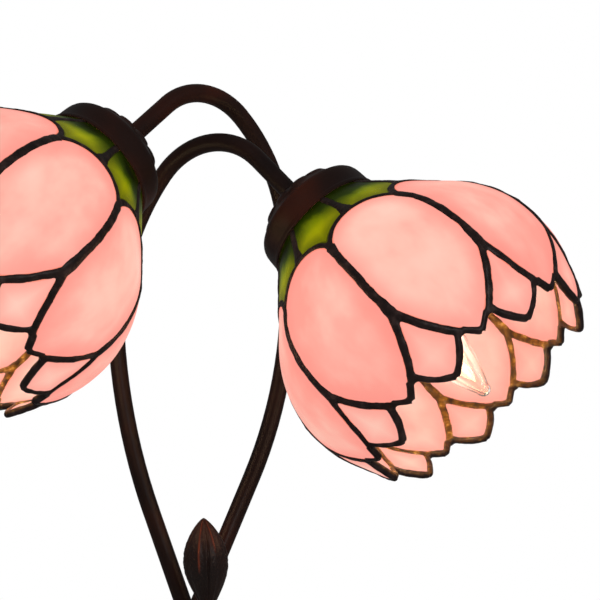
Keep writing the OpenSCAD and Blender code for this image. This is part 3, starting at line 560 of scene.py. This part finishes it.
# Where the ring lies; how far the border's bead lies inside the glass's outline, and where it loses the painted bulb
# light and turns dark
RING_W, BORDER_IN, BORDER_DARK = 1.6, 1.5, 2.5
# Size of the mesh that the beads run together in, the last place taken on the glass and how much of the painted bulb
# light the border keeps
BEAD_MESH, GLASS_LAST, BORDER_LIT_SHARE = 0.75, 165, 0.3


def rod(path, half_width):
    """A closed bead of oval section through (angle, w) places on the glass; its half width is one number or one a
    place."""
    sides = 12
    places = [on_glass(a, w) for a, w in path]
    halves = np.broadcast_to(half_width, len(path))
    points = []
    for i, (a, w) in enumerate(path):
        along = places[min(i + 1, len(path) - 1)] - places[max(i - 1, 0)]
        up = off_glass(a, w)
        across = np.cross(along, up)
        across /= np.linalg.norm(across)
        for j in range(sides):
            t = 360 * j / sides
            points.append(places[i] + across * halves[i] * cos(t) + up * BEAD_H * sin(t))
    return points, sleeve(len(path), sides)


def spaced(start, end, count):
    """Places from start to end in count equal steps."""
    return [start + (end - start) * i / count for i in range(count + 1)]


def to_tip(tip):
    """Places from the corner to a petal's tip, closer near the tip."""
    return tip - (tip - JOIN) * (1 - np.linspace(0, 1, 12)) ** 1.5


def seam_paths():
    """Middles of the beads of one petal's share of the shade, each with its half width."""
    # How far round the arch its bead runs before the straight flank takes over
    arch_end = ARCH_FULL - math.degrees(math.acos(min(1, LINE_GAP / ARCH_R)))
    arch = []
    for t in spaced(-arch_end, arch_end, 26):
        w = ARCH_W - ARCH_R * cos(t)
        arch.append((angle_of(ARCH_R * sin(t), w), w))
    flank_top = ARCH_W - ARCH_R * cos(arch_end)
    flank = np.linspace(flank_top - 1, VEE + 1, 26)
    flank_beads = np.interp(flank, [flank_top, flank_top + 8, VEE - 14, VEE],
                            [FLANK_ENDS[0], FLANK_BEAD, FLANK_BEAD, FLANK_ENDS[1]])
    paths = [(arch, ARCH_BEAD), ([(HALF, w) for w in flank], flank_beads),
             ([(0, w) for w in np.linspace(RING_W, LARGE_TOP, len(AXIAL_BEADS))], AXIAL_BEADS),
             ([(a, RING_W) for a in spaced(-HALF, HALF, 14)], RING_BEAD)]
    for s in (-1, 1):
        paths.append(([(s * side_half(w, 0), w) for w in np.linspace(VEE, JOIN, 22)], SIDE_BEAD))
        paths.append(([(s * side_half(w, BORDER_IN), w) for w in to_tip(large_tip(BORDER_IN, 0.02))], BORDER_BEAD))
        paths.append(([(HALF + s * small_side(w, BORDER_IN), w) for w in to_tip(small_tip(BORDER_IN, 0.02))],
                      BORDER_BEAD))
        corner = s * side_half(JOIN, 0)
        paths.append(([(corner, JOIN + past) for past, half in WEB], [half for past, half in WEB]))
    return paths


def run_together(points, faces):
    """Rods melted into one net: its points, their normals and its faces."""
    mesh = bpy.data.meshes.new("solder_net")
    mesh.from_pydata([tuple(p) for p in points], [], faces)
    net = bpy.data.objects.new("solder_net", mesh)
    bpy.context.scene.collection.objects.link(net)
    melt = net.modifiers.new("melt", "REMESH")
    melt.mode = "VOXEL"
    melt.voxel_size = BEAD_MESH
    flow = net.modifiers.new("flow", "SMOOTH")
    flow.factor = 0.5
    flow.iterations = 3
    melted = final_mesh(net)
    bpy.data.objects.remove(net)
    co, normals = np.zeros((2, len(melted.vertices) * 3))
    melted.vertices.foreach_get("co", co)
    melted.vertices.foreach_get("normal", normals)
    return co.reshape(-1, 3), normals.reshape(-1, 3), [tuple(p.vertices) for p in melted.polygons]


def lay_solder():
    """The net of seams of one shade about its own axis: points, faces and how far each point is inside, 0 to 1."""
    beads = [rod(*seam) for seam in seam_paths()]
    points, faces = [], []
    for k in range(PETALS):
        for bead_points, bead_faces in beads:
            first = len(points)
            points.extend(moved(bead_points, turn(k * STEP)))
            faces.extend([tuple(i + first for i in f) for f in bead_faces])
    co, normals, faces = run_together(points, faces)
    inside = np.zeros(len(co))
    for i, p in enumerate(co):
        w = min(max(p[2], 0), GLASS_LAST)
        height = (math.hypot(p[0], p[1]) - glass_r(w)) * cos(glass_slope(w))
        # The painted bulb light on the inner side starts just inside the glass's middle surface and is full 1 mm
        # inside it.
        inside[i] = min(1, max(0, -0.15 - height / 0.9))
        off = abs((math.degrees(math.atan2(p[1], p[0])) + HALF) % STEP - HALF)
        # Past the corner, the free border's outer side keeps only a share of the painted bulb light
        if w > JOIN and off > side_half(w, BORDER_DARK) and HALF - off > small_side(w, BORDER_DARK):
            inside[i] *= BORDER_LIT_SHARE
        # Lumps of hand-laid solder, about 7 mm and 2.4 mm across
        co[i] += normals[i] * (noise.noise(Vector(p) / 7) * 0.38 + noise.noise(Vector(p) / 2.4) * 0.12)
    return co, faces, inside


def make_solder():
    points, faces, inside = lay_solder()
    for side in SIDES:
        placed = moved(points, shade_matrix(side) @ turn(PHASE[side]))
        net = piece(f"{side}_solder_net", placed, faces, "root", SOLDER)
        paint(net, "inside", inside)
        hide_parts(f"{side}_leading")


# ---- cap ----
CAP_H, CAP_R, CAP_BAND, CAP_TOP_R, CAP_WALL = 32.5, 41.5, 18.5, 10.0, 1.6
# The dome's raised petals: their number, their height and the depth of the groove round them
CAP_PETALS, CAP_RISE, CAP_DIP = 12, 1.7, 0.6
# How far the cap comes down over the shade's rim
CAP_OVER = 3.0


def make_caps():
    """Cast cup with a plain flared band and a low dome of raised petals round the arm."""
    dome_r, dome_h = CAP_R - 5.3, CAP_H - CAP_BAND + 0.5
    dome = [(dome_r - t * (dome_r - CAP_TOP_R),
             -CAP_BAND + 0.6 - dome_h * math.sin(t ** 0.88 * 1.45) / math.sin(1.45)) for t in np.linspace(0, 1, 26)]
    # The band's drop in radius and its height, from the lip up to the dome
    band = [(CAP_R - less, z) for less, z in (
        (0.4, 1.4), (0, 1), (0, -0.4), (0.5, -1.2), (0.8, -2.2), (1, -6), (1.2, -10), (1.5, -13), (2.1, -15),
        (3, -16.4), (4.3, -17.4))]
    hole = [(CAP_TOP_R - 3, -CAP_H), (CAP_TOP_R - 5, -CAP_H + 0.2), (CAP_TOP_R - 5, -CAP_H + 1.8)]
    inside = [(r - CAP_WALL, z + 1.8) for r, z in reversed(dome[:-2])]
    inside += [(CAP_R - 4.2, -14.5), (CAP_R - 2.6, -11), (CAP_R - CAP_WALL, -1.6), (CAP_R - 1.2, 1.4)]
    profile = [(r, z + CAP_OVER) for r, z in band + dome + hole + inside]

    def petals(a, j):
        """Raises the dome's pointed petals; the band and the inside stay plain."""
        if not len(band) < j < len(band) + len(dome) - 1:
            return 0, 0
        t = (j - len(band)) / (len(dome) - 1)
        lobe = abs(sin(a * CAP_PETALS / 2 + 90))
        tip = 0.16 + 0.24 * (1 - lobe) ** 2
        rise = min(1, max(0, (t - tip) / 0.08)) * (1 - t) ** 0.4
        return 0, -(CAP_RISE * lobe ** 0.5 * rise - CAP_DIP * (1 - rise) * min(1, t / 0.1))
    points, faces = lathe(profile, 288, petals)
    for side in SIDES:
        cap = piece(f"{side}_cast_cap", moved(points, shade_matrix(side)), faces, "root", BRONZE)
        clean(cap)
        paint(cap, "rubbed", np.zeros(len(cap.data.vertices)))
        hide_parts(f"{side}_shade_cap")


# ---- bulb ----
# The bulb's contact, its screw cap's top and its tip
CONTACT_W, BULB_CAP_LEN, BULB_LEN = 42.65, 24.0, 114.0
CAP_TOP_W, TIP_W = CONTACT_W + BULB_CAP_LEN, CONTACT_W + BULB_LEN
BULB_R, BULB_NECK_R, TIP_R, BULB_WALL = 17.5, 11.2, 4.6, 0.8
SHOULDER_R = BULB_R * 0.72
# The neck's swell, and the taper from the shoulder to the tip
SWELL_LEN, TAPER_LEN, TIP_LEN = 34.0, 30.0, 5.4


def bulb_outline(inset):
    """Half outline of the candle-shaped bulb from its neck to its blunt point."""
    swell, shoulder = CAP_TOP_W + SWELL_LEN, TIP_W - TAPER_LEN
    out = [(12.2 - inset, CAP_TOP_W - 2.6)]
    out += [(BULB_NECK_R - inset + (BULB_R - BULB_NECK_R) * (1 - cos(180 * t)) / 2, CAP_TOP_W + SWELL_LEN * t)
            for t in np.linspace(0, 1, 20)]
    out += [(BULB_R - inset - (BULB_R - SHOULDER_R) * t ** 2, swell + (shoulder - swell) * t)
            for t in np.linspace(0.08, 1, 12)]
    out += [(SHOULDER_R - inset - (SHOULDER_R - TIP_R) * t ** 1.3, shoulder + (TAPER_LEN - TIP_LEN) * t)
            for t in np.linspace(0.1, 1, 12)]
    out += [((TIP_R - inset) * cos(90 * t) + 0.02, TIP_W - TIP_LEN + (TIP_LEN - 0.2 - inset) * sin(90 * t))
            for t in np.linspace(0.12, 1, 9)]
    return out


def glint(a, w):
    """How strongly a place on a bulb's glass shines: streaks along it that fade towards the tip."""
    streak = max(0, noise.noise(Vector((3 * cos(a), 3 * sin(a), w / 26))) + 0.05)
    return 0.015 + 1.1 * streak * min(1, max(0, (TIP_W - 5 - w) / 32))


def screw_cap():
    """The bulb's screw cap: contact, insulator, rolled thread and collar."""
    contact = [(r, CONTACT_W + z) for r, z in ((0.05, 0), (4.4, 0), (5.4, 1.2), (9.4, 2.6), (11.8, 4.2))]
    threaded = [(12.55, CONTACT_W + 5 + 16 * t) for t in np.linspace(0, 1, 61)]
    collar = [(r, CONTACT_W + z) for r, z in ((12.7, 22), (12.9, 24), (12.3, 24), (12.3, 21.4), (0.05, 21.4))]
    # Rows of the profile in one turn of the thread
    pitch = 14

    def thread(a, j):
        if not len(contact) <= j < len(contact) + len(threaded):
            return 0, 0
        return 0.45 * sin(360 * ((j - len(contact)) / pitch + a / 360)), 0
    return lathe(contact + threaded + collar, 72, thread)


def filament_path(low):
    """The long zigzag of a squirrel-cage filament between its two rings of hooks."""
    hooks, path = 5, []
    for i in range(2 * hooks + 1):
        a = 360 * i / (2 * hooks)
        r, z = (5.2, 30) if i % 2 else (3.4, 2)
        path.append((r * cos(a), r * sin(a), low + z))
    return path


def wire_mesh(name, path, radius):
    """A round wire through points."""
    curve = bpy.data.curves.new(name, "CURVE")
    curve.dimensions = "3D"
    curve.bevel_depth = radius * MM
    curve.bevel_resolution = 3
    curve.use_fill_caps = True
    spline = curve.splines.new("POLY")
    spline.points.add(len(path) - 1)
    for point, p in zip(spline.points, path):
        point.co = (*(p * MM), 1)
    made = bpy.data.objects.new(name, curve)
    bpy.context.scene.collection.objects.link(made)
    mesh = final_mesh(made)
    bpy.data.objects.remove(made)
    mesh.name = name
    return mesh


def make_bulbs():
    glass, cap = lathe(bulb_outline(0) + bulb_outline(BULB_WALL)[::-1], 64), screw_cap()
    stem = lathe([(r, CAP_TOP_W + z) for r, z in (
        (0.05, -2.6), (8, -2.6), (6.5, 2), (3.6, 8), (2.2, 14), (1.9, 23), (2.6, 25), (2.2, 27), (0.05, 27.5))], 40)
    for side in SIDES:
        place, body = shade_matrix(side), f"{side}_lamp"
        for name, (points, faces), slot, material, node in (
                ("bulb_glass", glass, "bulb_glass", BULB, "bulb"), ("screw_cap", cap, "nickel", NICKEL, "bulb_cap"),
                ("bulb_stem", stem, "filament", STEM, "filament")):
            obj = piece(f"{side}_{name}", moved(points, place), faces, body, material)
            clean(obj)
            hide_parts(f"{side}_{node}")
            if material is BULB:
                own = moved(np.array([v.co for v in obj.data.vertices]) / MM, place.inverted())
                paint(obj, "glint", [glint(math.degrees(math.atan2(y, x)), w) for x, y, w in own])
        path = moved(filament_path(CAP_TOP_W + 27), place)
        coil = dress(wire_mesh(f"{side}_filament_coil", path, 0.32), body, FILAMENT)
        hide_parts(f"{side}_filament")


# ---- bud ----
BUD_LOW, BUD_TIP = Vector((10.2, -21.0, 156.0)), Vector((7.3, -22.5, 214.0))
BUD_H, BUD_R, BUD_STEM_R = 58.0, 15.0, 4.0
# Angles of the raised petal edges, and the share of the height from which each is rubbed; 2 is nowhere
RIDGES = ((-107, 0.38), (-62, 0.6), (-17, 2), (28, 2), (73, 0.5), (118, 2), (163, 0.6), (208, 2))
# The deep groove between the two front petals
GROOVE = -86


def bud_outline(t):
    """Radius of the bud at a share t of its height."""
    return BUD_R * math.sin(math.pi * min(1, t)) ** 0.74 + BUD_STEM_R * (1 - t) ** 10


def bell(gap, width):
    """A smooth ridge of height 1 by the angle from its top."""
    return math.exp(-(gap / width) ** 2)


def angle_gap(a, b):
    """Angle from b to a, from -180 to 180."""
    return (a - b + 180) % 360 - 180


def bud_place(a, t):
    """How far the bud's skin is raised at an angle and a share of its height, and how much it is rubbed."""
    lift, wear = 0.0, 0.0
    for ridge, start in RIDGES:
        gap = angle_gap(a, ridge)
        lift += 0.5 * bell(gap, 4) - 0.45 * bell(gap - 10, 8)
        wear = max(wear, bell(gap, 2.3) * min(1, max(0, (t - start) * 8)))
    gap = angle_gap(a, GROOVE + 8 * t)
    lift -= bell(gap, 3.0) - 0.4 * bell(gap + 7, 3.0)
    lift += noise.noise(Vector((a / 5, t * 34, 3.7))) * 0.5 * min(1, max(0, 1.3 - abs(t - 0.52) * 4))
    return lift, wear * (0.75 + 0.5 * noise.noise(Vector((a / 20, t * 9, 0))))


def make_bud():
    """Cast bud: petals with raised edges, some of them rubbed, and pitted between."""
    rows, cols = 120, 216
    points, rubbed = [], []
    for i in range(rows + 1):
        t = 0.9985 * (1 - cos(180 * i / rows)) / 2
        for j in range(cols):
            a = 360 * j / cols
            lift, wear = bud_place(a, t)
            r = bud_outline(t) + lift * math.sin(math.pi * t) ** 0.6
            points.append((r * cos(a), r * sin(a), BUD_H * t))
            rubbed.append(wear)
    way = BUD_TIP - BUD_LOW
    lean = Matrix.Rotation(math.atan2(way.x, way.z), 4, "Y") @ Matrix.Rotation(math.asin(-way.y / way.length), 4, "X")
    placed = moved(points, Matrix.Translation(BUD_LOW) @ lean)
    bud = piece("lily_bud", placed, sleeve(rows + 1, cols), "root", CAST)
    paint(bud, "rubbed", rubbed)
    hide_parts("bud")


# ---- foot ----
BASE_R, RIM_H, BASE_H, FLANGE_R, LEAVES = 100.0, 16.0, 36.0, 34.0, 8
FOOT_TURNS = 384
# Heights of a leaf, its midrib and its veins, how far its middle dips and the relief from which the foot is rubbed
LEAF_RISE, RIB_RISE, VEIN_RISE, LEAF_DIP, RUBBED_FROM = 1.5, 0.7, 0.28, 0.3, 1.75


def foot_height(r):
    return RIM_H + (BASE_H - RIM_H) * (1 - ((r - FLANGE_R) / (BASE_R - FLANGE_R)) ** 1.6)


def leaf_relief(a, r):
    """Height of the leaf carving at a place on the foot: pointed leaves with a midrib and side veins."""
    span = (r - FLANGE_R - 2) / (BASE_R - FLANGE_R - 12)
    if not 0 < span < 1:
        return 0.0
    gap = ((a / (360 / LEAVES)) % 1 - 0.5) * 2
    half = 0.97 * math.sin(math.pi * span ** 0.85) ** 0.62
    side = abs(gap) / max(half, 1e-3)
    if side >= 1:
        return 0.0
    body = LEAF_RISE * min(1, (1 - side) / 0.16) ** 0.7
    rib = RIB_RISE * math.exp(-(gap * r / 2.4) ** 2 / 4)
    vein = VEIN_RISE * max(0, math.cos(2 * math.pi * (span * 7 - abs(gap) * 2.2))) ** 6 * min(1, (1 - side) * 4)
    return body + rib + vein - LEAF_DIP * (1 - side)


def make_foot():
    """Cast domed foot covered with leaves, hollow below."""
    radii = np.linspace(FLANGE_R - 14, BASE_R - 2, 84)
    top = [(r, foot_height(max(r, FLANGE_R))) for r in radii]
    # The moulded rim: its drop in radius and its height, from the dome's edge down and round to the inside
    rim = [(BASE_R - less, z) for less, z in (
        (0.8, RIM_H - 0.9), (0, RIM_H - 2), (0, RIM_H - 6), (0.7, RIM_H - 7), (0.7, RIM_H - 8), (0, RIM_H - 9),
        (0, 2.2), (0.7, 1.5), (3, 1.5), (3, RIM_H - 5))]
    under = [(r - 1.5, foot_height(r) - 3) for r in np.linspace(BASE_R - 4, FLANGE_R, 16)]
    profile = top + rim + under + [(FLANGE_R - 14, BASE_H - 3)]

    def relief(a, j):
        return 0, leaf_relief(a, radii[j]) if j < len(top) else 0
    points, faces = lathe(profile, FOOT_TURNS, relief)
    worn = [max(0, relief(360 * i / FOOT_TURNS, j)[1] - RUBBED_FROM) * 0.5
            for i in range(FOOT_TURNS) for j in range(len(profile))]
    foot = piece("leaf_foot", points, faces, "root", CAST)
    paint(foot, "rubbed", np.clip(worn, 0, 0.5))
    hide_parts("foot")


# ---- what stays as built in CAD ----
def finish_nodes():
    finishes = {"hub": BRONZE, "bud_stem": BRONZE, "weight": IRON, "bottom_cover": STEEL, "felt": FELT,
                "base_screws": STEEL, "cord_grommet": RUBBER, "wire_connectors": NYLON}
    for side in SIDES:
        finishes.update({f"{side}_{part}": material for part, material in (
            ("arm", BRONZE), ("lead_wire", CABLE), ("nipple", BRASS), ("lock_nuts", BRASS), ("shade_ring", BRASS),
            ("holder", PORCELAIN), ("screw_shell", BRASS), ("centre_contact", BRASS))})
    for name, material in finishes.items():
        mesh = frame["nodes"][name].data
        mesh.materials.clear()
        mesh.materials.append(material)
        mesh.shade_smooth()
        mesh.set_sharp_from_angle(angle=math.radians(CAD_SHARP))


# ---- light, floor and camera ----
FLOOR_R = 1.15
BULB_LIGHT_W = 110.0


def light(name, place, aim, size, power, mirrored=False):
    """A round area light; one that isn't mirrored leaves no highlight."""
    lamp = bpy.data.lights.new(name, "AREA")
    lamp.shape = "DISK"
    lamp.size = size
    lamp.energy = power
    obj = bpy.data.objects.new(name, lamp)
    obj.visible_glossy = mirrored
    obj.location = place
    obj.rotation_euler = (Vector(aim) - Vector(place)).to_track_quat("-Z", "Y").to_euler()
    bpy.context.scene.collection.objects.link(obj)


def bulb_light(side):
    """The light of a lit bulb on the inside of its shade."""
    lamp = bpy.data.lights.new(f"{side}_bulb_light", "POINT")
    lamp.energy = 0.45
    lamp.color = rgb("#FFDDAA")[:3]
    lamp.shadow_soft_size = 0.012
    lamp.use_shadow = False
    obj = bpy.data.objects.new(f"{side}_bulb_light", lamp)
    obj.location = shade_matrix(side) @ Vector((0, 0, BULB_LIGHT_W)) * MM
    bpy.context.scene.collection.objects.link(obj)


def make_world():
    """Even pale studio light: white to the camera and through clear glass, dim in what gloss mirrors."""
    world = bpy.data.worlds.new("studio")
    bpy.context.scene.world = world
    world.use_nodes = True
    tree = world.node_tree
    ray = add(tree, "ShaderNodeLightPath", {})
    seen = {0: ray["Is Camera Ray"], 1: ray["Is Transmission Ray"]}
    clear = add(tree, "ShaderNodeMath", seen, operation="MAXIMUM")[0]
    even = add(tree, "ShaderNodeMapRange", {"Value": ray["Is Glossy Ray"], "To Min": 0.42, "To Max": 0.12})["Result"]
    strength = add(tree, "ShaderNodeMapRange", {"Value": clear, "To Min": even, "To Max": 1.0})["Result"]
    feed(tree, tree.nodes["Background"], {"Color": rgb("#FFFFFF"), "Strength": strength})


def make_floor():
    """Matt white paper; it mirrors as grey, so that the bronze stays dark."""
    bm = bmesh.new()
    bmesh.ops.create_circle(bm, cap_ends=True, segments=96, radius=FLOOR_R)
    mesh = bpy.data.meshes.new("floor")
    bm.to_mesh(mesh)
    bm.free()
    floor = bpy.data.objects.new("floor", mesh)
    bpy.context.scene.collection.objects.link(floor)
    material, tree, shader = new_material("matt_paper")
    mirrored = add(tree, "ShaderNodeLightPath", {})["Is Glossy Ray"]
    paper, mirror_paper = rgb("#F4F3F1"), rgb("#6E6D6C")
    colour = add(tree, "ShaderNodeMix", {"Factor": mirrored, 6: paper, 7: mirror_paper}, data_type="RGBA")[2]
    feed(tree, shader, {"Base Color": colour, "Roughness": 0.9})
    mesh.materials.append(material)


def make_camera():
    camera = bpy.data.cameras.new("camera")
    camera.lens, camera.sensor_width = 78.0, 36.0
    camera.shift_x, camera.shift_y = 0.1533, 0.2633
    obj = bpy.data.objects.new("camera", camera)
    obj.location = (0.0103, -0.884, 0.2536)
    obj.rotation_euler = (math.radians(90), 0, 0)
    bpy.context.scene.collection.objects.link(obj)
    bpy.context.scene.camera = obj


def main():
    bpy.context.scene.view_settings.view_transform = "Standard"
    make_camera()
    make_world()
    make_floor()
    light("key", (-0.9, -1.3, 1.4), aim=(0, 0, 0.35), size=0.9, power=16)
    light("fill", (1.2, -0.9, 0.8), aim=(0, 0, 0.3), size=1.0, power=8)
    light("back", (0.2, 1.4, 1.2), aim=(0, 0, 0.3), size=1.0, power=8)
    light("glint", (0.5, -1.3, 0.7), aim=(0, 0, 0.3), size=0.35, power=2, mirrored=True)
    for side in SIDES:
        bulb_light(side)
    finish_nodes()
    make_glass()
    make_solder()
    make_caps()
    make_bulbs()
    make_bud()
    make_foot()


main()
